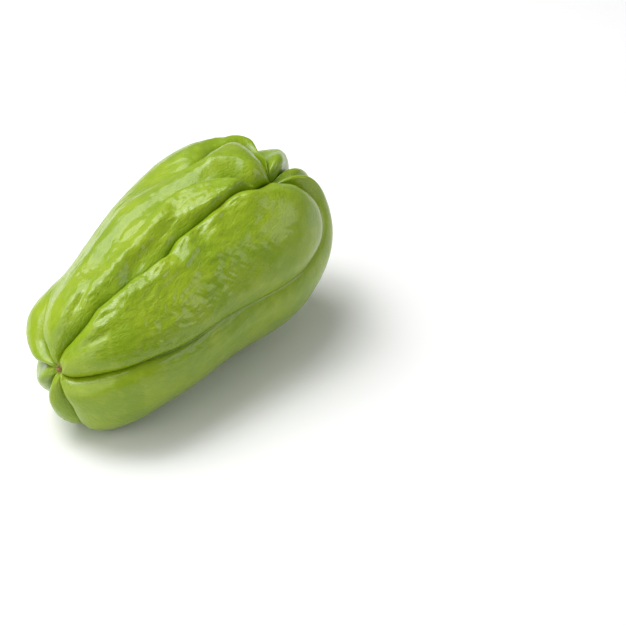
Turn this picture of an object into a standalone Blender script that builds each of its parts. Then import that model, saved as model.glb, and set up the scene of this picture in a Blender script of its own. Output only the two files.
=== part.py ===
"""Chayote squash: one whole fruit lying on its side, and the corky scar where its stem broke away.

Frame: metres, +Z up. The long axis runs along X, with the stem end at -X and the wide blossom end at
+X. The origin is on the surface that the fruit rests on, under the middle of the fruit.

The fruit starts as a sphere whose poles are the stem scar and the blossom end's mouth. Its meridians
become the six furrows and the lobes between them: each lobe takes a sixth of the meridians. The sphere
is leaned, so that both poles turn up, stretched to a smooth pear, and then sunk along the furrows.
"""

from collections import namedtuple

import bmesh
import bpy
import numpy as np

MM = 0.001

# The smooth pear, with angles in degrees from the stem end, about the middle of the fruit
LENGTH = 148 * MM
ROUNDNESS = 0.94  # height of a cross-section over its width
GIRTH = ((0, 34), (30, 46), (60, 39), (90, 39), (120, 47.5), (150, 48), (180, 34))
AXIS_HEIGHT = ((0, 26), (60, 32.4), (90, 37.7), (120, 40), (180, 39.6))
AXIS_SWAY = ((0, 0), (60, 0.7), (90, 4.8), (120, 6.5), (180, 0))
CORE_STEM_INSET = 32 * MM
CORE_BLOSSOM_INSET = 38 * MM

# The lean that turns both poles up: how far, and the side that they turn to, from the stem pole on
LEAN = ((0, 14.3), (45, 4.9), (90, -19.5), (135, -43.9), (180, -55))
LEAN_SIDE = ((0, 83), (45, 104), (180, 119))

# Furrows. A route is the angle round the long axis, from +Y over the top, by degrees from the stem pole.
# Depths, reaches and swells are in millimetres. Crease is 1 for a sharp fold and 0 for a soft valley.
# Swell is how far the lobe after the furrow stands proud of the smooth pear.
Furrow = namedtuple("Furrow", "route depth reach_before reach_after crease swell")
FURROWS = (
    Furrow(  # back
        route=((0, 0), (10, -10), (16, -16), (32, -17), (60, -4), (90, 3), (120, 4), (140, 0), (150, -3),
               (157, 0), (163, 4), (170, 12), (180, 38)),
        depth=((0, 1), (4, 2), (12, 4.5), (26, 4.5), (40, 3), (120, 3), (150, 5), (165, 6), (180, 6)),
        reach_before=((0, 6), (12, 8), (26, 11), (180, 11)),
        reach_after=((0, 6), (12, 8), (26, 11), (180, 11)),
        crease=((0, 1), (30, 0.9), (60, 0.5), (120, 0.5), (150, 1)),
        swell=((0, 0), (8, 0.6), (16, 1.6), (28, 1.6), (50, 0.3), (100, 0), (125, 0.8), (145, 2.4),
               (160, 0), (180, 0)),
    ),
    Furrow(  # upper back
        route=((0, 34), (9, 18), (15, 15), (20, 17), (25, 24), (33, 31), (45, 40), (60, 47), (90, 52),
               (125, 57), (135, 54), (140, 46), (144, 30), (150, 14), (156, 9), (162, 9), (170, 18),
               (180, 50)),
        depth=((0, 1), (4, 2), (12, 4.5), (22, 4), (40, 1.2), (110, 0.8), (130, 2), (142, 3), (160, 6),
               (180, 6)),
        reach_before=((0, 6), (12, 8), (26, 10), (180, 9)),
        reach_after=((0, 6), (12, 8), (26, 10), (180, 10)),
        crease=((0, 1), (28, 0.9), (45, 0), (115, 0), (140, 0.6), (155, 1)),
        swell=((0, 0), (8, 0.6), (16, 1.5), (28, 1.2), (50, 0), (110, 0.3), (145, 1.5), (165, 2.4),
               (180, 0)),
    ),
    Furrow(  # front, which runs into the mouth
        route=((0, 78), (9, 86), (12, 93), (17, 98), (23, 99.5), (34, 97), (44, 99.5), (54, 101.5),
               (65, 102), (76, 106), (90, 108.5), (101, 110), (112, 108), (120, 108.5), (131, 109.5),
               (140, 110.5), (150, 110), (157, 110), (165, 116), (172, 119), (180, 125)),
        depth=((0, 1), (4, 2), (12, 4), (35, 4.5), (60, 4.5), (95, 5), (135, 5), (155, 5.5), (163, 8),
               (180, 8)),
        reach_before=((0, 6), (15, 8), (40, 9), (105, 9), (122, 8), (132, 5), (155, 4), (180, 9)),
        reach_after=((0, 5), (15, 6), (40, 5), (60, 3.5), (120, 3.5), (155, 5), (180, 9)),
        crease=((0, 1), (28, 0.9), (50, 0.75), (140, 0.75), (158, 1)),
        swell=((0, 0), (8, 0.8), (16, 2), (28, 1.6), (50, 0.5), (110, 0.5), (145, 3), (170, 3.5),
               (180, 0)),
    ),
    Furrow(  # lower front
        route=((0, 198), (8, 194), (16, 181), (24, 171), (30, 167), (38, 163.5), (46, 162.5), (62, 164),
               (90, 170), (120, 195), (150, 240), (160, 250), (170, 250), (180, 240)),
        depth=((0, 1), (4, 2), (12, 4), (30, 4.5), (60, 4), (120, 3), (150, 4), (180, 6)),
        reach_before=((0, 6), (12, 8), (40, 10), (180, 9)),
        reach_after=((0, 5), (15, 7), (30, 9), (180, 8)),
        crease=((0, 1), (60, 1), (90, 0.6), (130, 0.6), (150, 1)),
        swell=((0, 0), (8, 0.8), (16, 1.6), (26, 0.3), (40, -1.8), (60, -1.5), (90, 0), (150, 2),
               (172, 2.5), (180, 0)),
    ),
    Furrow(  # under
        route=((0, 212), (8, 235), (13, 245), (20, 251), (28, 259), (36, 266), (60, 272), (90, 270),
               (125, 272), (150, 280), (180, 285)),
        depth=((0, 1), (4, 2), (12, 4.5), (30, 4.5), (60, 2), (120, 1.5), (150, 1), (180, 0.5)),
        reach_before=((0, 5), (12, 7), (30, 10), (180, 9)),
        reach_after=((0, 5), (12, 7), (30, 10), (180, 9)),
        crease=((0, 1), (35, 1), (60, 0.5), (120, 0.3), (150, 0)),
        swell=((0, 0), (8, 0.8), (16, 1.6), (28, 1), (45, 0), (120, 0), (150, 1), (165, 1.5), (180, 0)),
    ),
    Furrow(  # lower back
        route=((0, 298), (8, 304), (30, 304), (90, 306), (150, 318), (180, 320)),
        depth=((0, 1), (4, 2), (12, 4.5), (30, 4.5), (60, 2.5), (120, 2.5), (150, 4), (180, 6)),
        reach_before=((0, 5), (12, 7), (30, 10), (180, 9)),
        reach_after=((0, 5), (12, 7), (30, 10), (180, 9)),
        crease=((0, 1), (35, 1), (60, 0.5), (120, 0.5), (150, 1)),
        swell=((0, 0), (8, 0.8), (16, 1.6), (28, 1), (45, 0), (100, 0), (140, 2), (160, 3.2), (172, 3),
               (180, 0)),
    ),
)
FURROW_CROWDING = 0.5  # how much closer the meridians stand at a furrow than across a lobe
WIDEST_REACH = 0.55    # of a lobe's own width, where the lobes narrow towards a pole

# The dimples at the two poles: depth, reach, and the radius of the flat bottom
STEM_DIMPLE = (1.8 * MM, 4 * MM, 1.5 * MM)
MOUTH_DIMPLE = (10 * MM, 9 * MM, 0.5 * MM)
BLENDING = 4  # how sharply the deepest of several hollows wins

# The underside rests on the crests of two lobes, pressed flat by this much
REST_FLAT = 1.1 * MM

# The mesh
RINGS = 60
MERIDIANS_PER_LOBE = 7
POLE_CROWDING = 0.3

# The stem scar
SCAR_RADIUS = 1.2 * MM
SCAR_HEIGHT = 1.4 * MM
SCAR_TAPER = 0.8
SCAR_BEVEL = 0.3 * MM
RIM_ANGLE = 1  # radians; only the two rims turn more sharply than this
SCAR_SIDES = 16
GAP = 0.3 * MM

# Finishes: linear colour and roughness
SKIN_GREEN = (0.31, 0.50, 0.055, 1)
SKIN_ROUGHNESS = 0.38
SCAR_BROWN = (0.17, 0.075, 0.03, 1)
SCAR_ROUGHNESS = 0.8


def along(track, angle):
    """Smooth value, at each angle, of a track of (degrees, value) points."""
    stations, values = np.transpose(track).astype(float)
    slopes = np.gradient(values, stations)
    slopes[[0, -1]] = 0
    angle = np.clip(angle, stations[0], stations[-1])
    start = np.clip(np.searchsorted(stations, angle, side="right") - 1, 0, len(stations) - 2)
    span = stations[start + 1] - stations[start]
    part = (angle - stations[start]) / span
    rise = part * part * (3 - 2 * part)
    leave = part * (1 - part) ** 2 * span
    arrive = part * part * (part - 1) * span
    return (
        values[start] * (1 - rise) + values[start + 1] * rise
        + slopes[start] * leave + slopes[start + 1] * arrive
    )


def axis_point(part_of_length):
    """Point of the fruit's bent long axis, from the stem end at 0 to the blossom end at 1."""
    angle = np.degrees(np.arccos(1 - 2 * part_of_length))
    x = (part_of_length - 0.5) * LENGTH
    return np.stack([x, along(AXIS_SWAY, angle) * MM, along(AXIS_HEIGHT, angle) * MM], axis=-1)


def smooth_pear(direction):
    """Surface of the pear without its furrows, for unit directions from the middle."""
    angle = np.degrees(np.arccos(np.clip(-direction[:, 0], -1, 1)))
    part_of_length = (1 + direction[:, 0]) / 2
    girth = along(GIRTH, angle)[:, None] * MM
    across = direction * (0, 1, ROUNDNESS)
    return axis_point(part_of_length) + girth * across


def inward(points):
    """Unit directions from surface points to the core, a stretch of the long axis."""
    low = CORE_STEM_INSET / LENGTH
    high = 1 - CORE_BLOSSOM_INSET / LENGTH
    part_of_length = np.clip(points[:, 0] / LENGTH + 0.5, low, high)
    to_core = axis_point(part_of_length) - points
    return to_core / np.linalg.norm(to_core, axis=1, keepdims=True)


def leaned(polar, azimuth):
    """Unit directions after both poles have been turned up."""
    lean = np.radians(along(LEAN, polar))
    side = np.radians(along(LEAN_SIDE, polar))
    polar = np.radians(polar)
    from_side = np.radians(azimuth) - side
    ahead = -np.cos(polar)
    out = np.sin(polar) * np.cos(from_side)
    beside = np.sin(polar) * np.sin(from_side)
    x = ahead * np.cos(lean) + out * np.sin(lean)
    out = out * np.cos(lean) - ahead * np.sin(lean)
    y = out * np.cos(side) - beside * np.sin(side)
    z = out * np.sin(side) + beside * np.cos(side)
    return np.stack([x, y, z], axis=-1)


def hollow(distance, crease):
    """How much of a hollow's depth is sunk, at a distance from its bottom over its reach."""
    away = np.clip(distance, 0, 1)
    fold = 1 - np.sqrt(1 - (1 - away) ** 2)
    valley = 0.5 + 0.5 * np.cos(np.pi * away)
    return crease * fold + (1 - crease) * valley


def sunk(furrow, polar, distance, reach):
    """How far a furrow sinks the skin, at a distance from its line."""
    away = distance / np.maximum(reach, 1e-9)
    return along(furrow.depth, polar) * MM * hollow(away, along(furrow.crease, polar))


def square_on(furrow, polar):
    """How short the way straight across a furrow is, for a way of 1 round the long axis."""
    step = 0.5
    veer = (along(furrow.route, polar + step) - along(furrow.route, polar - step)) / (2 * step)
    return 1 / np.hypot(1, veer * np.sin(np.radians(polar)))


def lobes(polar, turn):
    """Azimuth, sink by the furrows and swell of each point of the sphere."""
    lobe_span = 360 / len(FURROWS)
    lobe = np.minimum((turn / lobe_span).astype(int), len(FURROWS) - 1)
    across = turn / lobe_span - lobe
    across = across - FURROW_CROWDING * np.sin(2 * np.pi * across) / (2 * np.pi)
    azimuth, depth, swell = np.zeros((3, len(polar)))
    ring_radius = along(GIRTH, polar) * MM * np.sin(np.radians(polar))
    for index, before in enumerate(FURROWS):
        here = lobe == index
        after = FURROWS[(index + 1) % len(FURROWS)]
        angle = polar[here]
        start = along(before.route, angle)
        end = along(after.route, angle) + (360 if index == len(FURROWS) - 1 else 0)
        part = across[here]
        width = np.radians(end - start) * ring_radius[here]
        reach_start = np.minimum(along(before.reach_after, angle) * MM, WIDEST_REACH * width)
        reach_end = np.minimum(along(after.reach_before, angle) * MM, WIDEST_REACH * width)
        azimuth[here] = start + (end - start) * part
        depth[here] = (
            sunk(before, angle, part * width * square_on(before, angle), reach_start) ** BLENDING
            + sunk(after, angle, (1 - part) * width * square_on(after, angle), reach_end) ** BLENDING
        )
        swell[here] = along(before.swell, angle) * MM * np.sin(np.pi * part)
    return azimuth, depth ** (1 / BLENDING), swell


def fruit_surface(polar, turn):
    """Points of the fruit, for degrees from the stem pole and sphere degrees round the axis."""
    polar = polar - np.degrees(POLE_CROWDING * np.sin(np.radians(2 * polar)) / 2)
    azimuth, depth, swell = lobes(polar, turn)
    hollows = [depth]
    for from_pole, girth, (deepest, reach, flat) in (
        (polar, GIRTH[0][1], STEM_DIMPLE),
        (180 - polar, GIRTH[-1][1], MOUTH_DIMPLE),
    ):
        distance = np.radians(from_pole) * girth * MM
        hollows.append(deepest * hollow((distance - flat) / reach, 1))
    depth = sum(each ** BLENDING for each in hollows) ** (1 / BLENDING)
    points = smooth_pear(leaned(polar, azimuth))
    return points + inward(points) * (depth - swell)[:, None]


def material(name, colour, roughness):
    made = bpy.data.materials.new(name)
    made.use_nodes = True
    shader = made.node_tree.nodes["Principled BSDF"]
    shader.inputs["Base Color"].default_value = colour
    shader.inputs["Roughness"].default_value = roughness
    shader.inputs["Metallic"].default_value = 0
    return made


def finished(name, shape, finish):
    """Object in the scene, made from a bmesh and shaded smooth."""
    bmesh.ops.recalc_face_normals(shape, faces=shape.faces)
    mesh = bpy.data.meshes.new(name)
    shape.to_mesh(mesh)
    shape.free()
    mesh.shade_smooth()
    mesh.materials.append(finish)
    made = bpy.data.objects.new(name, mesh)
    bpy.context.scene.collection.objects.link(made)
    return made


def make_fruit():
    """The one solid fruit; returns its stem pole and the direction straight out of that pole."""
    shape = bmesh.new()
    bmesh.ops.create_uvsphere(
        shape, u_segments=MERIDIANS_PER_LOBE * len(FURROWS), v_segments=RINGS, radius=1
    )
    sphere = np.array([vertex.co for vertex in shape.verts])
    polar = np.degrees(np.arccos(np.clip(sphere[:, 2], -1, 1)))
    turn = np.degrees(np.arctan2(sphere[:, 1], sphere[:, 0])) % 360
    points = fruit_surface(polar, turn)

    underside = points[:, 2].min() + REST_FLAT
    points[:, 2] = np.maximum(points[:, 2] - underside, 0)
    middle = (points.min(axis=0) + points.max(axis=0)) / 2
    points[:, :2] -= middle[:2]
    for vertex, point in zip(shape.verts, points):
        vertex.co = point

    made = finished("fruit", shape, material("skin", SKIN_GREEN, SKIN_ROUGHNESS))
    pole = made.data.vertices[polar.argmin()]
    return pole.co.copy(), pole.normal.copy()


def make_stem_scar(stem, outward):
    """Short corky stub that stands in the stem dimple."""
    shape = bmesh.new()
    bmesh.ops.create_cone(
        shape, cap_ends=True, segments=SCAR_SIDES,
        radius1=SCAR_RADIUS * SCAR_TAPER, radius2=SCAR_RADIUS, depth=SCAR_HEIGHT,
    )
    rims = [edge for edge in shape.edges if edge.calc_face_angle() > RIM_ANGLE]
    bmesh.ops.bevel(
        shape, geom=rims, offset=SCAR_BEVEL, segments=2, profile=0.5, affect="EDGES", material=-1,
    )
    scar = finished("stem_scar", shape, material("cork", SCAR_BROWN, SCAR_ROUGHNESS))
    scar.location = stem + outward * (GAP + SCAR_HEIGHT / 2)
    scar.rotation_mode = "QUATERNION"
    scar.rotation_quaternion = outward.to_track_quat("Z", "Y")


def main():
    for old in list(bpy.data.objects):
        bpy.data.objects.remove(old, do_unlink=True)
    stem, outward = make_fruit()
    make_stem_scar(stem, outward)


main()
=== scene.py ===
"""Chayote squash: the fruit's lobed skin, the corky scar of its stem, and a plain studio round them.

The fruit starts as a sphere whose poles are the stem scar and the blossom end's mouth. Its meridians
become the six furrows and the lobes between them. The sphere is leaned, so that both poles turn up,
stretched to a smooth pear, and then sunk along the furrows, folds and dents. Lengths are in metres.
"""

import math
from collections import namedtuple

import bmesh
import bpy
import numpy as np
from bpy.props import FloatProperty, FloatVectorProperty, IntProperty, PointerProperty
from mathutils import Matrix, Vector, noise


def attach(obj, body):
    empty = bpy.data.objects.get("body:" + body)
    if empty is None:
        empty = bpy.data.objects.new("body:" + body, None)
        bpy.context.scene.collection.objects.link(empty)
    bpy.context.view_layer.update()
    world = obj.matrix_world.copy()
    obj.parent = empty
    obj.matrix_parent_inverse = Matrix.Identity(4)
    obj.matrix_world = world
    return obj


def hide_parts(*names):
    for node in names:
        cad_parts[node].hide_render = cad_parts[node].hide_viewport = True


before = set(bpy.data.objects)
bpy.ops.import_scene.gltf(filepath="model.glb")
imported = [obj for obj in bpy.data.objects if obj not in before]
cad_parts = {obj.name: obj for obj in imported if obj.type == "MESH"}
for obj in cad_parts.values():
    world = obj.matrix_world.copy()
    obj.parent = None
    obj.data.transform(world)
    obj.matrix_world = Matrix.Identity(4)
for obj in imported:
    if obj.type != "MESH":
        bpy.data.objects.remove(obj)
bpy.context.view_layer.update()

bl_info = {
    "name": "Chayote squash",
    "version": (1, 0, 0),
    "blender": (4, 5, 0),
    "location": "3D View > Sidebar > Chayote",
    "description": "Grows a whole chayote squash, its stem scar and a pale studio floor",
    "category": "Object",
}

MM = 0.001

# The smooth pear: radii and places in millimetres, by degrees from the stem end about the fruit's middle
LENGTH = 148 * MM
ROUNDNESS = 0.94  # height of a cross-section over its width
GIRTH = ((0, 34), (30, 46), (60, 39), (90, 39), (120, 47.5), (150, 48), (180, 34))
AXIS_HEIGHT = ((0, 26), (60, 32.4), (90, 37.7), (120, 40), (180, 39.6))
AXIS_SWAY = ((0, 0), (60, 0.7), (90, 4.8), (120, 6.5), (180, 0))

# The core that hollows are sunk towards: the long axis, less this much at each end
CORE_STEM_INSET = 32 * MM
CORE_BLOSSOM_INSET = 38 * MM

# The lean that turns both poles up: how far, and the side that they turn to, from the stem pole on
LEAN = ((0, 14.3), (45, 4.9), (90, -19.5), (135, -43.9), (180, -55))
LEAN_SIDE = ((0, 83), (45, 104), (180, 119))

# Furrows. A route is the angle round the long axis, from +Y over the top, by degrees from the stem pole.
# Depths, reaches and swells are in millimetres. Crease is 1 for a sharp fold and 0 for a soft valley.
# Swell is how far the lobe after the furrow stands proud of the smooth pear, or below it when negative.
Furrow = namedtuple("Furrow", "route depth reach_before reach_after crease swell")
FURROWS = (
    Furrow(  # back
        route=((0, 0), (10, -10), (16, -16), (32, -17), (60, -4), (90, 3), (120, 4), (140, 0), (150, -3),
               (157, 0), (163, 4), (170, 12), (180, 38)),
        depth=((0, 1), (4, 2), (12, 4.5), (26, 4.5), (40, 3), (120, 3), (150, 5), (165, 6), (180, 6)),
        reach_before=((0, 6), (12, 8), (26, 11), (180, 11)),
        reach_after=((0, 6), (12, 8), (26, 11), (180, 11)),
        crease=((0, 1), (30, 0.9), (60, 0.5), (120, 0.5), (150, 1)),
        swell=((0, 0), (8, 0.6), (16, 1.6), (28, 1.6), (50, 0.3), (100, 0), (125, 0.8), (145, 2.4),
               (160, 0), (180, 0)),
    ),
    Furrow(  # upper back
        route=((0, 34), (9, 18), (15, 15), (20, 17), (25, 24), (33, 31), (45, 40), (60, 47), (90, 52),
               (125, 57), (135, 54), (140, 46), (144, 30), (150, 14), (156, 9), (162, 9), (170, 18),
               (180, 50)),
        depth=((0, 1), (4, 2), (12, 4.5), (22, 4), (40, 1.2), (110, 0.8), (130, 2), (142, 3), (160, 6),
               (180, 6)),
        reach_before=((0, 6), (12, 8), (26, 10), (180, 9)),
        reach_after=((0, 6), (12, 8), (26, 10), (180, 10)),
        crease=((0, 1), (28, 0.9), (45, 0), (115, 0), (140, 0.6), (155, 1)),
        swell=((0, 0), (8, 0.6), (16, 1.5), (28, 1.2), (50, 0), (110, 0.3), (145, 1.5), (165, 2.4),
               (180, 0)),
    ),
    Furrow(  # front, which runs into the mouth
        route=((0, 78), (9, 86), (12, 93), (17, 98), (23, 99.5), (34, 97), (44, 99.5), (54, 101.5),
               (65, 102), (76, 106), (90, 108.5), (101, 110), (112, 108), (120, 108.5), (131, 109.5),
               (140, 110.5), (150, 110), (157, 110), (165, 116), (172, 119), (180, 125)),
        depth=((0, 1), (4, 2), (12, 4), (35, 4.5), (60, 4.5), (95, 5), (135, 5), (155, 5.5), (163, 8),
               (180, 8)),
        reach_before=((0, 6), (15, 8), (40, 9), (105, 9), (122, 8), (132, 5), (155, 4), (180, 9)),
        reach_after=((0, 5), (15, 6), (40, 5), (60, 3.5), (120, 3.5), (155, 5), (180, 9)),
        crease=((0, 1), (28, 0.9), (50, 0.75), (140, 0.75), (158, 1)),
        swell=((0, 0), (8, 0.8), (16, 2), (28, 1.6), (50, 0.5), (110, 0.5), (145, 3), (170, 3.5),
               (180, 0)),
    ),
    Furrow(  # lower front
        route=((0, 198), (8, 194), (16, 181), (24, 171), (30, 167), (38, 163.5), (46, 162.5), (62, 164),
               (90, 170), (120, 195), (150, 240), (160, 250), (170, 250), (180, 240)),
        depth=((0, 1), (4, 2), (12, 4), (30, 4.5), (60, 4), (120, 3), (150, 4), (180, 6)),
        reach_before=((0, 6), (12, 8), (40, 10), (180, 9)),
        reach_after=((0, 5), (15, 7), (30, 9), (180, 8)),
        crease=((0, 1), (60, 1), (90, 0.6), (130, 0.6), (150, 1)),
        swell=((0, 0), (8, 0.8), (16, 1.6), (26, 0.3), (40, -1.8), (60, -1.5), (90, 0), (150, 2),
               (172, 2.5), (180, 0)),
    ),
    Furrow(  # under
        route=((0, 212), (8, 235), (13, 245), (20, 251), (28, 259), (36, 266), (60, 272), (90, 270),
               (125, 272), (150, 280), (180, 285)),
        depth=((0, 1), (4, 2), (12, 4.5), (30, 4.5), (60, 2), (120, 1.5), (150, 1), (180, 0.5)),
        reach_before=((0, 5), (12, 7), (30, 10), (180, 9)),
        reach_after=((0, 5), (12, 7), (30, 10), (180, 9)),
        crease=((0, 1), (35, 1), (60, 0.5), (120, 0.3), (150, 0)),
        swell=((0, 0), (8, 0.8), (16, 1.6), (28, 1), (45, 0), (120, 0), (150, 1), (165, 1.5), (180, 0)),
    ),
    Furrow(  # lower back
        route=((0, 298), (8, 304), (30, 304), (90, 306), (150, 318), (180, 320)),
        depth=((0, 1), (4, 2), (12, 4.5), (30, 4.5), (60, 2.5), (120, 2.5), (150, 4), (180, 6)),
        reach_before=((0, 5), (12, 7), (30, 10), (180, 9)),
        reach_after=((0, 5), (12, 7), (30, 10), (180, 9)),
        crease=((0, 1), (35, 1), (60, 0.5), (120, 0.5), (150, 1)),
        swell=((0, 0), (8, 0.8), (16, 1.6), (28, 1), (45, 0), (100, 0), (140, 2), (160, 3.2), (172, 3),
               (180, 0)),
    ),
)
FURROW_CROWDING = 0.5  # how much closer the meridians stand at a furrow than across a lobe
WIDEST_REACH = 0.55    # of a lobe's own width, where the lobes narrow towards a pole

# The dimples at the two poles: depth, reach, and the radius of the flat bottom
STEM_DIMPLE = (1.8 * MM, 4 * MM, 1.5 * MM)
MOUTH_DIMPLE = (10 * MM, 9 * MM, 0.5 * MM)
BLENDING = 4  # how sharply the deepest of several hollows wins

# Short furrows inside a lobe, which fade out at one end
FOLDS = (
    Furrow(  # the top lobe's fold, which branches from the front furrow at the mouth
        route=((95, 86), (112, 80), (124, 78), (135, 78), (144, 80), (153, 84), (158, 90), (162, 99),
               (166, 110), (171, 119), (180, 125)),
        depth=((95, 0), (115, 1.5), (135, 3), (150, 4.5), (158, 6.5), (164, 6), (172, 2.5), (179, 0)),
        reach_before=((95, 8), (135, 11), (150, 11), (165, 6)),
        reach_after=((95, 5), (130, 3), (165, 3)),
        crease=((95, 0), (120, 0.3), (140, 0.6), (160, 0.6)),
        swell=None,
    ),
)
FOLD_ROUNDING = 0.4 * MM  # blunts a fold's bottom, because it crosses the mesh at a slant

# Dents, sunk, and knobs, raised: degrees from the stem pole, azimuth, half length, half width, depth,
# with the lengths in millimetres and the depth negative for a knob
DENTS = (
    # knobs along the lower bank of the front furrow, and the notches between them
    (156, 126, 8, 6, -2.6), (134, 118, 7, 5, -1.5), (114, 117, 8, 5, -1.5), (98, 120, 6, 4, -0.8),
    (82, 114, 9, 5, -1.5), (62, 111, 7, 4, -1.2), (46, 108, 8, 5, -1.2), (28, 113, 6, 4, -1.0),
    (126, 117, 5, 4, 1.2), (101, 115, 6, 4, 1.3), (72, 109, 6, 4, 0.7), (38, 103, 4, 2.5, 0.5),
    # pockets in the valley above the front furrow
    (127, 105, 7, 5, 1.4), (95, 104, 9, 5, 1.3), (71, 99, 8, 5, 1.2), (49, 93, 9, 5, 1.0),
    (26, 88, 6, 4, 0.9),
    # shallow stretches of the front furrow below the plump lobe
    (139, 110, 3.5, 4, -1.5), (149, 109, 4.5, 3.5, -1.7), (127, 108, 6, 3.5, -1.4),
    # long knobs and streaks of the upper lobe
    (90, 95, 14, 3.5, -1.3), (112, 91, 8, 4, -1.4), (73, 90, 12, 4, -1.1), (55, 88, 10, 5, -0.9),
    (42, 85, 9, 5, -0.7), (93, 64, 18, 5, -0.7), (74, 62, 16, 5, -0.6), (58, 62, 14, 5, -0.5),
    (80, 98, 12, 3, 1.2), (96, 99, 9, 3, 1.0), (111, 98, 7, 3, 1.1), (60, 82, 10, 3, 1.0),
    (86, 85, 13, 3, 1.1), (66, 74, 14, 3, 0.8), (102, 77, 14, 3, 0.8), (120, 92, 7, 3, 0.9),
    # the top lobe's knob and dent beside the mouth
    (147, 63, 7, 5, -1.3), (144, 74, 5, 3, 0.9),
    # the plump lobe between the top lobe's fold and the front furrow
    (152, 105, 7, 6, -2.0), (140, 103, 9, 6, -2.0), (129, 100, 7, 5, -1.2),
    # broad swellings and hollows of the lobes
    (42, 18, 13, 9, -2.4), (95, 42, 14, 9, -1.1), (76, 50, 8, 8, 0.6), (34, 264, 10, 10, -1.9),
    (26, 322, 9, 14, 0.7), (142, 29, 6, 8, 1.6), (147, 16, 7, 8, -2.6),
    (158, 4, 5, 5, 1.8), (166, 334, 5, 6, 1.0),
    # short deep folds beside the stem scar
    (34, 80, 7, 1.6, 1.6), (32, 113, 4.5, 1.2, 1.0), (24, 127, 6, 1.5, 1.1),
)

# The scattered dents: ranges of the same five values, so that some are low knobs
SCATTERED = ((25, 165), (0, 360), (5, 12), (2.5, 5), (-0.3, 0.4))

# Fine wrinkles: size across and height, in millimetres, of each layer
WRINKLES = ((14, 0.3), (6, 0.35), (3, 0.65), (1.6, 0.5))
USUAL_CRINKLE = 0.17  # mean size of the noise, taken off so that the wrinkles don't make the fruit fatter
SMOOTH_DEPTH = 3.5 * MM  # depth in a furrow at which the wrinkles have died out

# How strong the wrinkles are, by degrees from the stem pole and by azimuth
WRINKLED = ((0, 0), (12, 0.15), (35, 0.7), (60, 1), (120, 1), (148, 0.8), (165, 0.4), (180, 0))
WRINKLED_ROUND = ((0, 0.45), (55, 0.5), (85, 0.9), (118, 1), (152, 1), (185, 0.45), (360, 0.45))

# The skin's grain is read on a barrel whose length is shortened, so that its pattern is long
GRAIN_RADIUS = 38 * MM
GRAIN_PER_RADIAN = 12 * MM

# The underside rests on the crests of two lobes, pressed flat by this much
REST_FLAT = 1.1 * MM

# The fruit's mesh
RINGS = 260
MERIDIANS_PER_LOBE = 62
POLE_CROWDING = 0.3  # how much closer the rings stand at the poles than if they were even

# The skin's patterns: size across, the values between which the green changes, and how strongly it does
MOTTLE_SIZE = 4 * MM
MOTTLE_EDGES = (0.45, 0.75)
MOTTLE_STRENGTH = 0.35
BLOTCH_SIZE = 16 * MM
BLOTCH_EDGES = (0.35, 0.7)
# Painted shade: the skin turns a darker green down in the furrows, between these depths and this strongly
FURROW_SHADE_DEPTHS = (1.5 * MM, 6 * MM)
FURROW_SHADE_STRENGTH = 0.7
CREASE_SIZE = 2 * MM
CREASE_HEIGHT = 1.2 * MM
CREASE_STRENGTH = 0.6
SKIN_ROUGHNESS = 0.38
MOTTLE_ROUGHNESS = 0.2  # added where the mottle is palest

# The stem scar: a squashed ball, with its rim at this many radians from its top
SCAR_MERIDIANS = 48
SCAR_RINGS = 32
SCAR_BELLY = 0.55      # half its thickness, as part of its height
SCAR_FLAT_FOOT = -0.9  # the ball is cut off flat below this
SCAR_RIM_ANGLE = 1
SCAR_RIM_WIDTH = 0.35
SCAR_RIM_RISE = 0.35
SCAR_KNOBS = ((1.7, 0.12), (5, 0.05))  # how many across a radius, and how far they push the rim out
SCAR_CRUMBS = (4, 0.18)                # the same, for the height of the top
FLAKE_SIZE = 0.67 * MM
FLAKE_EDGES = (0.35, 0.65)
FLAKE_HEIGHT = 0.3 * MM
FLAKE_STRENGTH = 0.8
CORK_ROUGHNESS = 0.75
FLAKE_ROUGHNESS = 0.2  # added where the flakes are palest

# The studio: places and sizes in metres, powers in watts
FLOOR_REACH = 3
FLOOR_GAP = 0.1 * MM
LIT_POINT = (0, 0, 35 * MM)
Lamp = namedtuple("Lamp", "name place size power")
LAMPS = (
    Lamp("key", (-0.1, 0.45, 0.95), 0.95, 12.4),
    Lamp("spark", (-0.2, 0.33, 1.0), 0.3, 1.8),
    Lamp("left", (-0.85, 0.15, 0.45), 0.9, 4.4),
    Lamp("right", (0.48, -0.67, 0.45), 0.5, 1.8),
)
SENSOR_WIDTH = 36
NEAREST_SEEN = 10 * MM


def along(track, angle):
    """Smooth value, at each angle, of a track of (degrees, value) points."""
    stations, values = np.transpose(track).astype(float)
    slopes = np.gradient(values, stations)
    slopes[[0, -1]] = 0
    angle = np.clip(angle, stations[0], stations[-1])
    start = np.clip(np.searchsorted(stations, angle, side="right") - 1, 0, len(stations) - 2)
    span = stations[start + 1] - stations[start]
    part = (angle - stations[start]) / span
    rise = part * part * (3 - 2 * part)
    leave = part * (1 - part) ** 2 * span
    arrive = part * part * (part - 1) * span
    return (
        values[start] * (1 - rise) + values[start + 1] * rise
        + slopes[start] * leave + slopes[start + 1] * arrive
    )


def axis_point(part_of_length):
    """Point of the fruit's bent long axis, from the stem end at 0 to the blossom end at 1."""
    angle = np.degrees(np.arccos(1 - 2 * part_of_length))
    x = (part_of_length - 0.5) * LENGTH
    return np.stack([x, along(AXIS_SWAY, angle) * MM, along(AXIS_HEIGHT, angle) * MM], axis=-1)


def smooth_pear(direction):
    """Surface of the pear without its furrows, for unit directions from the middle."""
    angle = np.degrees(np.arccos(np.clip(-direction[:, 0], -1, 1)))
    part_of_length = (1 + direction[:, 0]) / 2
    girth = along(GIRTH, angle)[:, None] * MM
    across = direction * (0, 1, ROUNDNESS)
    return axis_point(part_of_length) + girth * across


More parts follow.
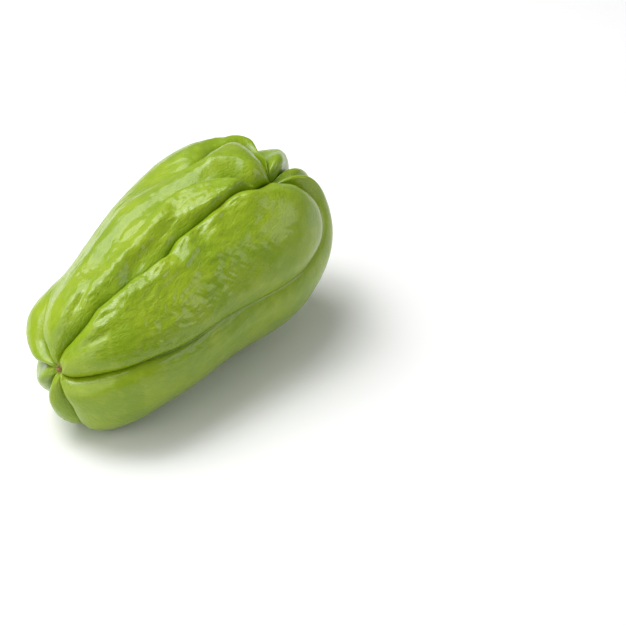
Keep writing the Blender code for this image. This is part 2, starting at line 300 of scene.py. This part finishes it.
def inward(points):
    """Unit directions from surface points to the core, a stretch of the long axis."""
    low = CORE_STEM_INSET / LENGTH
    high = 1 - CORE_BLOSSOM_INSET / LENGTH
    part_of_length = np.clip(points[:, 0] / LENGTH + 0.5, low, high)
    to_core = axis_point(part_of_length) - points
    return to_core / np.linalg.norm(to_core, axis=1, keepdims=True)


def leaned(polar, azimuth):
    """Unit directions after both poles have been turned up."""
    lean = np.radians(along(LEAN, polar))
    side = np.radians(along(LEAN_SIDE, polar))
    polar = np.radians(polar)
    from_side = np.radians(azimuth) - side
    ahead = -np.cos(polar)
    out = np.sin(polar) * np.cos(from_side)
    beside = np.sin(polar) * np.sin(from_side)
    x = ahead * np.cos(lean) + out * np.sin(lean)
    out = out * np.cos(lean) - ahead * np.sin(lean)
    y = out * np.cos(side) - beside * np.sin(side)
    z = out * np.sin(side) + beside * np.cos(side)
    return np.stack([x, y, z], axis=-1)


def hollow(distance, crease):
    """How much of a hollow's depth is sunk, at a distance from its bottom over its reach."""
    away = np.clip(distance, 0, 1)
    fold = 1 - np.sqrt(1 - (1 - away) ** 2)
    valley = 0.5 + 0.5 * np.cos(np.pi * away)
    return crease * fold + (1 - crease) * valley


def sunk(furrow, polar, distance, reach):
    """How far a furrow sinks the skin, at a distance from its line."""
    away = distance / np.maximum(reach, 1e-9)
    return along(furrow.depth, polar) * MM * hollow(away, along(furrow.crease, polar))


def square_on(furrow, polar):
    """How short the way straight across a furrow is, for a way of 1 round the long axis."""
    step = 0.5
    veer = (along(furrow.route, polar + step) - along(furrow.route, polar - step)) / (2 * step)
    return 1 / np.hypot(1, veer * np.sin(np.radians(polar)))


def lobes(polar, turn):
    """Azimuth, sink by the furrows and swell of each point of the sphere."""
    lobe_span = 360 / len(FURROWS)
    lobe = np.minimum((turn / lobe_span).astype(int), len(FURROWS) - 1)
    across = turn / lobe_span - lobe
    across = across - FURROW_CROWDING * np.sin(2 * np.pi * across) / (2 * np.pi)
    azimuth, depth, swell = np.zeros((3, len(polar)))
    ring_radius = along(GIRTH, polar) * MM * np.sin(np.radians(polar))
    for index, before in enumerate(FURROWS):
        here = lobe == index
        after = FURROWS[(index + 1) % len(FURROWS)]
        angle = polar[here]
        start = along(before.route, angle)
        end = along(after.route, angle) + (360 if index == len(FURROWS) - 1 else 0)
        part = across[here]
        width = np.radians(end - start) * ring_radius[here]
        reach_start = np.minimum(along(before.reach_after, angle) * MM, WIDEST_REACH * width)
        reach_end = np.minimum(along(after.reach_before, angle) * MM, WIDEST_REACH * width)
        azimuth[here] = start + (end - start) * part
        depth[here] = (
            sunk(before, angle, part * width * square_on(before, angle), reach_start) ** BLENDING
            + sunk(after, angle, (1 - part) * width * square_on(after, angle), reach_end) ** BLENDING
        )
        swell[here] = along(before.swell, angle) * MM * np.sin(np.pi * part)
    return azimuth, depth ** (1 / BLENDING), swell


def fold_depth(fold, polar, azimuth):
    """How far a short furrow sinks the skin."""
    ring_radius = along(GIRTH, polar) * MM * np.sin(np.radians(polar))
    offset = np.radians(azimuth - along(fold.route, polar)) * ring_radius * square_on(fold, polar)
    reach = np.where(offset < 0, along(fold.reach_before, polar), along(fold.reach_after, polar)) * MM
    return sunk(fold, polar, np.hypot(offset, FOLD_ROUNDING), reach)


def dent_depth(dents, polar, azimuth):
    """How far all the dents together sink the skin; knobs raise it."""
    girth = along(GIRTH, polar) * MM
    ring_radius = girth * np.sin(np.radians(polar))
    depth = np.zeros(len(polar))
    for middle, side, half_length, half_width, sink in dents:
        ahead = np.radians(polar - middle) * girth / (half_length * MM)
        beside = np.radians((azimuth - side + 180) % 360 - 180) * ring_radius / (half_width * MM)
        depth += sink * MM * np.exp(-(ahead ** 2) - beside ** 2)
    return depth


def scattered_dents(count, seed):
    """Shallow dents and knobs all over, in a fixed random order."""
    random = np.random.RandomState(seed)
    for _ in range(count):
        yield tuple(random.uniform(low, high) for low, high in SCATTERED)


def crinkle(points, size):
    """Smooth noise between about -0.5 and 0.5, with lumps of the given size."""
    return np.array([noise.noise(point) for point in points / size])


def along_grain(polar, azimuth):
    """Places to read noise at, so that its lumps are longer along the fruit, less so at its ends."""
    radius = GRAIN_RADIUS * np.sqrt(np.abs(np.sin(np.radians(polar))))
    return np.stack([
        GRAIN_PER_RADIAN * np.radians(polar),
        radius * np.cos(np.radians(azimuth)),
        radius * np.sin(np.radians(azimuth)),
    ], axis=-1)


def wrinkles(grain, polar, azimuth, depth):
    """Height of the skin's fine wrinkles, which run along the fruit and die out down a furrow."""
    height = np.zeros(len(polar))
    for size, tallest in WRINKLES:
        height += tallest * MM * (np.abs(crinkle(grain, size * MM)) - USUAL_CRINKLE)
    fading = along(WRINKLED, polar) * along(WRINKLED_ROUND, azimuth % 360)
    return height * fading * hollow(depth / SMOOTH_DEPTH, 0)


def fruit_surface(polar, turn, fruit):
    """Points, depths and grain, for degrees from the stem pole and sphere degrees round the axis."""
    polar = polar - np.degrees(POLE_CROWDING * np.sin(np.radians(2 * polar)) / 2)
    azimuth, depth, swell = lobes(polar, turn)
    hollows = [depth]
    for fold in FOLDS:
        hollows.append(fold_depth(fold, polar, azimuth))
    for from_pole, girth, (deepest, reach, flat) in (
        (polar, GIRTH[0][1], STEM_DIMPLE),
        (180 - polar, GIRTH[-1][1], MOUTH_DIMPLE),
    ):
        distance = np.radians(from_pole) * girth * MM
        hollows.append(deepest * hollow((distance - flat) / reach, 1))
    depth = sum(each ** BLENDING for each in hollows) ** (1 / BLENDING)
    grain = along_grain(polar, azimuth)
    height = fruit.wrinkling * wrinkles(grain, polar, azimuth, depth)
    dents = (*DENTS, *scattered_dents(fruit.scattered_dents, fruit.seed))
    depth += dent_depth(dents, polar, azimuth) - height
    points = smooth_pear(leaned(polar, azimuth))
    return points + inward(points) * (depth - swell)[:, None], depth, grain


class Value:
    """A socket's number, colour or vector, so that maths on it reads as a plain expression."""

    def __init__(self, finish, socket):
        self.finish = finish
        self.socket = socket

    def maths(self, operation, *inputs):
        return self.finish.node("ShaderNodeMath", {"operation": operation}, dict(enumerate(inputs)))

    def __add__(self, other):
        return self.maths("ADD", self, other)

    def __radd__(self, other):
        return self.maths("ADD", other, self)

    def __sub__(self, other):
        return self.maths("SUBTRACT", self, other)

    def __rsub__(self, other):
        return self.maths("SUBTRACT", other, self)

    def __mul__(self, other):
        return self.maths("MULTIPLY", self, other)

    def __rmul__(self, other):
        return self.maths("MULTIPLY", other, self)

    def __abs__(self):
        return self.maths("ABSOLUTE", self)


class Finish:
    """One node material, built from expressions."""

    def __init__(self, name):
        self.material = bpy.data.materials.new(name)
        self.material.use_nodes = True
        self.tree = self.material.node_tree
        self.shader = self.tree.nodes["Principled BSDF"]

    def feed(self, socket, value):
        """Links a value to a socket, or sets the socket to a constant."""
        if isinstance(value, Value):
            self.tree.links.new(value.socket, socket)
        else:
            socket.default_value = value

    def node(self, kind, settings=None, inputs=None, output=0):
        """Adds a node: its settings first, then the values or links of its sockets."""
        made = self.tree.nodes.new(kind)
        for name, value in (settings or {}).items():
            setattr(made, name, value)
        for key, value in (inputs or {}).items():
            self.feed(made.inputs[key], value)
        return Value(self, made.outputs[output])

    def place(self):
        return self.node("ShaderNodeTexCoord", output="Object")

    def attribute(self, name, output="Fac"):
        return self.node("ShaderNodeAttribute", {"attribute_name": name}, output=output)

    def noise(self, place, size, detail, roughness=0.5, distortion=0):
        """Cloudy noise from 0 to 1, with patches of the given size."""
        return self.node("ShaderNodeTexNoise", None, {
            "Vector": place, "Scale": 1 / size, "Detail": detail, "Roughness": roughness,
            "Distortion": distortion,
        })

    def ramp(self, value, low, high):
        """0 below low, 1 above high, and smooth between them."""
        inputs = {"Value": value, "From Min": low, "From Max": high}
        return self.node("ShaderNodeMapRange", {"interpolation_type": "SMOOTHSTEP"}, inputs)

    def mix(self, factor, first, second):
        """Colour between two colours."""
        inputs = {0: factor, 6: first, 7: second}
        return self.node("ShaderNodeMix", {"data_type": "RGBA"}, inputs, output=2)

    def bump(self, height, strength, distance):
        inputs = {"Height": height, "Strength": strength, "Distance": distance}
        return self.node("ShaderNodeBump", None, inputs)

    def set(self, **sockets):
        """Sets or links the shader's own sockets, given with _ for a space."""
        for name, value in sockets.items():
            self.feed(self.shader.inputs[name.replace("_", " ")], value)


def rgba(colour):
    return (*colour, 1)


def skin_finish(fruit):
    """Waxy green skin: blotched and mottled, with painted shade of deeper green down the furrows, and
    fine long creases.
    """
    finish = Finish("skin")
    place = finish.place()
    grain = finish.attribute("grain", output="Vector")
    mottle = finish.noise(place, MOTTLE_SIZE, detail=4, roughness=0.6)
    blotches = finish.noise(place, BLOTCH_SIZE, detail=2)
    # painted shade: how far down a furrow a point lies, which darkens its green
    painted_furrow_shade = finish.ramp(finish.attribute("depth"), *FURROW_SHADE_DEPTHS)
    colour = finish.mix(finish.ramp(blotches, *BLOTCH_EDGES), rgba(fruit.skin_deep), rgba(fruit.skin))
    pale = MOTTLE_STRENGTH * finish.ramp(mottle, *MOTTLE_EDGES)
    colour = finish.mix(pale, colour, rgba(fruit.skin_pale))
    # painted shade: darker green mixed in down the furrows
    colour = finish.mix(FURROW_SHADE_STRENGTH * painted_furrow_shade, colour, rgba(fruit.skin_furrow_shade))
    creases = abs(finish.noise(grain, CREASE_SIZE, detail=2, roughness=0.55, distortion=0.4) - 0.5)
    finish.set(
        Base_Color=colour,
        Roughness=SKIN_ROUGHNESS + MOTTLE_ROUGHNESS * mottle,
        Normal=finish.bump(creases, CREASE_STRENGTH, CREASE_HEIGHT),
        IOR=1.45,
        Specular_IOR_Level=0.2,
        Coat_Weight=0.6,
        Coat_Roughness=0.2,
    )
    return finish.material


def cork_finish(scar):
    """Dry red-brown cork with paler flakes."""
    finish = Finish("cork")
    flakes = finish.noise(finish.place(), FLAKE_SIZE, detail=4, roughness=0.7)
    pale = finish.ramp(flakes, *FLAKE_EDGES)
    finish.set(
        Base_Color=finish.mix(pale, rgba(scar.cork_dark), rgba(scar.cork_pale)),
        Roughness=CORK_ROUGHNESS + FLAKE_ROUGHNESS * flakes,
        Normal=finish.bump(flakes, FLAKE_STRENGTH, FLAKE_HEIGHT),
    )
    return finish.material


def floor_finish(stage):
    """Plain matt floor."""
    finish = Finish("floor")
    finish.set(Base_Color=rgba(stage.floor_colour), Roughness=0.8, Specular_IOR_Level=0.2)
    return finish.material


def finished(name, mesh, finish):
    """Object in the scene, of a mesh that already stands in its place."""
    made = bpy.data.objects.new(name, mesh)
    bpy.context.scene.collection.objects.link(made)
    mesh.shade_smooth()
    mesh.materials.append(finish)
    return made


def as_mesh(name, shape):
    """Mesh of a finished bmesh, which is freed."""
    mesh = bpy.data.meshes.new(name)
    shape.to_mesh(mesh)
    shape.free()
    return mesh


def fruit_mesh(fruit):
    """Mesh of the fruit, resting on the floor, and the number of its vertex at the stem pole."""
    shape = bmesh.new()
    bmesh.ops.create_uvsphere(
        shape, u_segments=MERIDIANS_PER_LOBE * len(FURROWS), v_segments=RINGS, radius=1
    )
    bmesh.ops.recalc_face_normals(shape, faces=shape.faces)
    mesh = as_mesh("chayote_fruit", shape)
    sphere = np.empty(len(mesh.vertices) * 3)
    mesh.vertices.foreach_get("co", sphere)
    sphere = sphere.reshape(-1, 3)
    polar = np.degrees(np.arccos(np.clip(sphere[:, 2], -1, 1)))
    turn = np.degrees(np.arctan2(sphere[:, 1], sphere[:, 0])) % 360
    points, depth, grain = fruit_surface(polar, turn, fruit)

    underside = points[:, 2].min() + REST_FLAT
    points[:, 2] = np.maximum(points[:, 2] - underside, 0)
    middle = (points.min(axis=0) + points.max(axis=0)) / 2
    points[:, :2] -= middle[:2]
    points *= fruit.length / LENGTH
    mesh.vertices.foreach_set("co", points.ravel())
    mesh.attributes.new("depth", "FLOAT", "POINT").data.foreach_set("value", depth)
    mesh.attributes.new("grain", "FLOAT_VECTOR", "POINT").data.foreach_set("vector", grain.ravel())
    mesh.update()
    return mesh, int(polar.argmin())


def scar_point(place, scar):
    """Point of the scar, for a point of the unit sphere: knobby, with a raised rim."""
    angle = math.acos(max(-1, min(1, place.z)))
    flare = 1 + sum(push * noise.noise(place * knobs) for knobs, push in SCAR_KNOBS)
    crumbs, crumb_rise = SCAR_CRUMBS
    rim = math.exp(-((angle - SCAR_RIM_ANGLE) / SCAR_RIM_WIDTH) ** 2)
    up = SCAR_BELLY * max(place.z, SCAR_FLAT_FOOT)
    up += SCAR_RIM_RISE * rim + crumb_rise * noise.noise(place * crumbs)
    return Vector((place.x * scar.radius * flare, place.y * scar.radius * flare, up * scar.height))


def scar_mesh(scar):
    """Mesh of the scar, on its seat and facing out of the dimple."""
    shape = bmesh.new()
    bmesh.ops.create_uvsphere(shape, u_segments=SCAR_MERIDIANS, v_segments=SCAR_RINGS, radius=1)
    for vertex in shape.verts:
        vertex.co = scar_point(vertex.co.copy(), scar)
    turn = Vector(scar.outward).to_track_quat("Z", "Y").to_matrix().to_4x4()
    bmesh.ops.transform(shape, matrix=Matrix.Translation(scar.seat) @ turn, verts=shape.verts)
    bmesh.ops.recalc_face_normals(shape, faces=shape.faces)
    return as_mesh("chayote_scar", shape)


def lay_floor(stage):
    shape = bmesh.new()
    bmesh.ops.create_grid(shape, x_segments=1, y_segments=1, size=FLOOR_REACH)
    bmesh.ops.translate(shape, verts=shape.verts, vec=(0, 0, -FLOOR_GAP))
    finished("floor", as_mesh("floor", shape), floor_finish(stage))


def light_sky(stage):
    """Even white light from all round."""
    world = bpy.data.worlds.new("studio")
    world.use_nodes = True
    sky = world.node_tree.nodes["Background"]
    sky.inputs["Color"].default_value = rgba((1, 1, 1))
    sky.inputs["Strength"].default_value = stage.sky_strength
    bpy.context.scene.world = world


def hang(name, data, place, back):
    """Object of a lamp or camera, at its place and looking away from the direction behind it."""
    made = bpy.data.objects.new(name, data)
    made.location = place
    made.rotation_mode = "QUATERNION"
    made.rotation_quaternion = back.to_track_quat("Z", "Y")
    bpy.context.scene.collection.objects.link(made)
    return made


def hang_lamp(lamp, strength):
    """Soft square lamp that faces the fruit."""
    light = bpy.data.lights.new(lamp.name, "AREA")
    light.shape = "SQUARE"
    light.size = lamp.size
    light.energy = lamp.power * strength
    place = Vector(lamp.place)
    hang(lamp.name, light, place, place - Vector(LIT_POINT))


def set_camera(stage):
    data = bpy.data.cameras.new("camera")
    data.lens = stage.lens
    data.sensor_width = SENSOR_WIDTH
    data.clip_start = NEAREST_SEEN
    level = math.cos(stage.camera_elevation)
    back = Vector((
        math.sin(stage.camera_azimuth) * level,
        -math.cos(stage.camera_azimuth) * level,
        math.sin(stage.camera_elevation),
    ))
    place = Vector(stage.camera_target) + back * stage.camera_distance
    bpy.context.scene.camera = hang("camera", data, place, back)


def colour_property(name, description, default):
    return FloatVectorProperty(
        name=name, description=description, subtype="COLOR", size=3, min=0, max=1, default=default
    )


class FruitSettings(bpy.types.PropertyGroup):
    length: FloatProperty(
        name="Length", description="Length of the pear under the lobes; the rest grows in proportion",
        unit="LENGTH", min=10 * MM, default=LENGTH,
    )
    wrinkling: FloatProperty(
        name="Wrinkling", description="Height of the fine wrinkles, as part of their usual height",
        subtype="FACTOR", min=0, max=2, default=1,
    )
    scattered_dents: IntProperty(
        name="Scattered dents", description="How many shallow dents and knobs lie all over the fruit",
        min=0, default=70,
    )
    seed: IntProperty(name="Seed", description="Start of the scattered dents' random order", default=5)
    skin: colour_property("Skin", "Green of most of the skin", (0.25, 0.355, 0.004))
    skin_deep: colour_property("Deep skin", "Darker green of the skin's blotches", (0.195, 0.305, 0.002))
    skin_pale: colour_property("Pale skin", "Yellow-green of the skin's mottle", (0.33, 0.43, 0.04))
    # painted shade: the darker green painted at the bottom of a furrow
    skin_furrow_shade: colour_property("Furrow shade", "Green at the bottom of a furrow", (0.14, 0.25, 0.001))


class ScarSettings(bpy.types.PropertyGroup):
    seat: FloatVectorProperty(
        name="Seat", description="Point of the fruit that the scar sits on; growing the fruit sets it",
        subtype="XYZ", unit="LENGTH", size=3,
    )
    outward: FloatVectorProperty(
        name="Outward", description="Way that the scar faces; growing the fruit sets it",
        subtype="DIRECTION", size=3, default=(-1, 0, 0),
    )
    radius: FloatProperty(
        name="Radius", description="From the scar's middle to its rim", unit="LENGTH", default=1.3 * MM,
    )
    height: FloatProperty(
        name="Height", description="How tall the scar is", unit="LENGTH", default=1.6 * MM,
    )
    cork_dark: colour_property("Dark cork", "Red-brown of the stem scar", (0.11, 0.04, 0.012))
    cork_pale: colour_property("Pale cork", "Tan flakes of the stem scar", (0.36, 0.22, 0.08))


class StageSettings(bpy.types.PropertyGroup):
    floor_colour: colour_property("Floor", "Colour of the floor", (0.85, 0.85, 0.85))
    sky_strength: FloatProperty(
        name="Sky", description="Strength of the even light from all round", min=0, default=0.24,
    )
    lamp_strength: FloatProperty(
        name="Lamps", description="Strength of the lamps, as part of their usual strength",
        min=0, default=1,
    )
    camera_target: FloatVectorProperty(
        name="Camera target", description="Point that the camera looks at", subtype="XYZ",
        unit="LENGTH", size=3, default=(15.74 * MM, -57.46 * MM, 34.65 * MM),
    )
    camera_distance: FloatProperty(
        name="Camera distance", description="From the camera to its target", unit="LENGTH", default=0.65,
    )
    camera_azimuth: FloatProperty(
        name="Camera azimuth", description="Round the fruit, from -Y towards -X when negative",
        subtype="ANGLE", default=math.radians(-51.6),
    )
    camera_elevation: FloatProperty(
        name="Camera elevation", description="Above the horizon", subtype="ANGLE",
        default=math.radians(35),
    )
    lens: FloatProperty(
        name="Lens", description="Focal length on a 36 mm sensor", unit="CAMERA", default=96.5,
    )


class CHAYOTE_OT_grow_fruit(bpy.types.Operator):
    """Grow the whole fruit, with its lobes, furrows, folds, dents and wrinkles"""

    bl_idname = "chayote.grow_fruit"
    bl_label = "Grow fruit"

    def execute(self, context):
        settings = context.scene.chayote_fruit
        mesh, stem_pole = fruit_mesh(settings)
        fruit = finished("chayote_fruit", mesh, skin_finish(settings))
        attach(fruit, "root")
        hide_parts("fruit")
        context.scene.chayote_scar.seat = mesh.vertices[stem_pole].co
        context.scene.chayote_scar.outward = mesh.vertices[stem_pole].normal
        return {"FINISHED"}


class CHAYOTE_OT_set_scar(bpy.types.Operator):
    """Set the corky scar of the stem in the fruit's dimple"""

    bl_idname = "chayote.set_scar"
    bl_label = "Set scar"

    def execute(self, context):
        if "chayote_fruit" not in bpy.data.objects:
            raise RuntimeError("the scar needs its fruit: grow the fruit first")
        settings = context.scene.chayote_scar
        scar = finished("chayote_scar", scar_mesh(settings), cork_finish(settings))
        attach(scar, "root")
        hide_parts("stem_scar")
        return {"FINISHED"}


class CHAYOTE_OT_set_stage(bpy.types.Operator):
    """Lay a pale floor, hang soft lamps and set the camera"""

    bl_idname = "chayote.set_stage"
    bl_label = "Set stage"

    def execute(self, context):
        settings = context.scene.chayote_stage
        lay_floor(settings)
        light_sky(settings)
        for lamp in LAMPS:
            hang_lamp(lamp, settings.lamp_strength)
        set_camera(settings)
        context.scene.view_settings.view_transform = "Standard"
        return {"FINISHED"}


class CHAYOTE_PT_sidebar(bpy.types.Panel):
    """Each step in order, above its own settings"""

    bl_idname = "CHAYOTE_PT_sidebar"
    bl_label = "Chayote squash"
    bl_space_type = "VIEW_3D"
    bl_region_type = "UI"
    bl_category = "Chayote"

    def draw(self, context):
        for operator, group in STEPS:
            box = self.layout.box()
            box.operator(operator.bl_idname)
            for name in SETTINGS[group].__annotations__:
                box.prop(getattr(context.scene, group), name)


SETTINGS = {
    "chayote_fruit": FruitSettings,
    "chayote_scar": ScarSettings,
    "chayote_stage": StageSettings,
}
STEPS = (
    (CHAYOTE_OT_grow_fruit, "chayote_fruit"),
    (CHAYOTE_OT_set_scar, "chayote_scar"),
    (CHAYOTE_OT_set_stage, "chayote_stage"),
)
CLASSES = (*SETTINGS.values(), *(operator for operator, _ in STEPS), CHAYOTE_PT_sidebar)


def register():
    for made in CLASSES:
        bpy.utils.register_class(made)
    for name, group in SETTINGS.items():
        setattr(bpy.types.Scene, name, PointerProperty(type=group))


def unregister():
    for name in SETTINGS:
        delattr(bpy.types.Scene, name)
    for made in reversed(CLASSES):
        bpy.utils.unregister_class(made)


def main():
    register()
    bpy.ops.chayote.grow_fruit()
    bpy.ops.chayote.set_scar()
    bpy.ops.chayote.set_stage()


if __name__ == "__main__":
    main()
